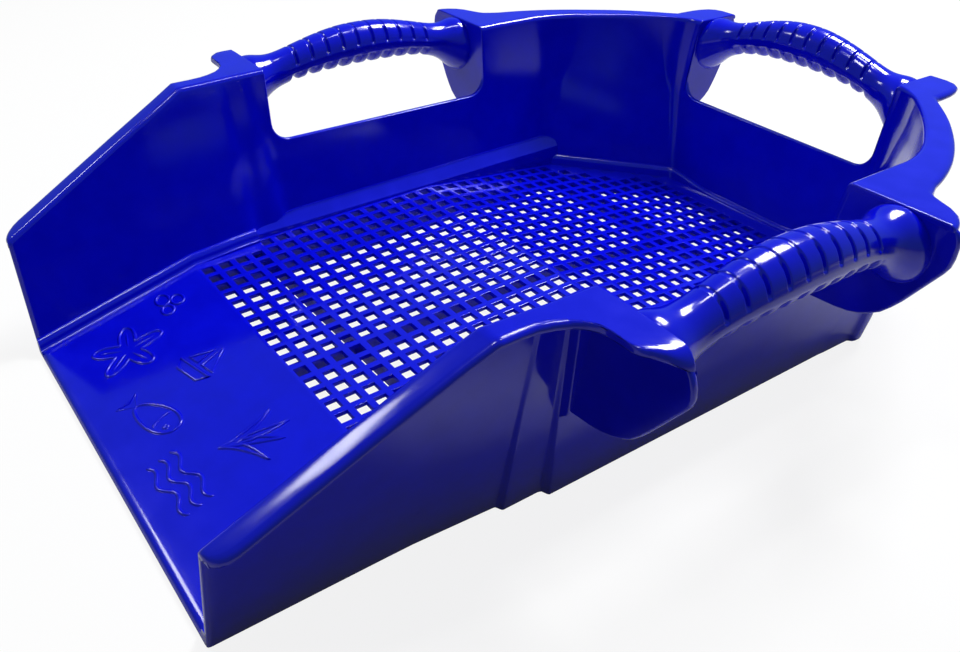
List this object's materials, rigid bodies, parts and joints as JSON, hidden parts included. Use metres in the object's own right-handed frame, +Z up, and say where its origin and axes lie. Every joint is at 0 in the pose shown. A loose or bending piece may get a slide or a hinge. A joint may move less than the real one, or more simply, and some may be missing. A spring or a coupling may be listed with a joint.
{
  "type": "sand sieve",
  "caption": "Blue plastic beach sand sieve: a scooping tray with a ramped lip, a floor of square holes, a turned-out rim and ribbed hand grips on both sides and the rear.",
  "frame": {"origin": "on the ground under the middle of the overall length and width", "axes": "+Y from the scooping lip toward the rear wall, +Z up, +X to the right for someone looking along +Y"},
  "size_m": [0.3422, 0.4564, 0.1159],
  "materials": {
    "blue_plastic": "gloss"
  },
  "bodies": {
    "root": {"scoop_ramp": "blue_plastic", "sieve_front": "blue_plastic", "sieve_rear": "blue_plastic", "front_cross_rib": "blue_plastic", "rear_cross_rib": "blue_plastic", "centre_rib_front": "blue_plastic", "centre_rib_middle": "blue_plastic", "centre_rib_rear": "blue_plastic", "centre_rib_end": "blue_plastic", "left_front_wall": "blue_plastic", "right_front_wall": "blue_plastic", "left_step_wall": "blue_plastic", "right_step_wall": "blue_plastic", "left_side_wall": "blue_plastic", "right_side_wall": "blue_plastic", "left_ledge": "blue_plastic", "right_ledge": "blue_plastic", "left_corner_wall": "blue_plastic", "right_corner_wall": "blue_plastic", "rear_wall": "blue_plastic", "left_front_rim": "blue_plastic", "right_front_rim": "blue_plastic", "left_corner_rim": "blue_plastic", "right_corner_rim": "blue_plastic", "left_front_ear": "blue_plastic", "right_front_ear": "blue_plastic", "left_rear_ear": "blue_plastic", "right_rear_ear": "blue_plastic", "rear_left_ear": "blue_plastic", "rear_right_ear": "blue_plastic", "left_grip": "blue_plastic", "right_grip": "blue_plastic", "rear_grip": "blue_plastic"}
  },
  "joints": []
}
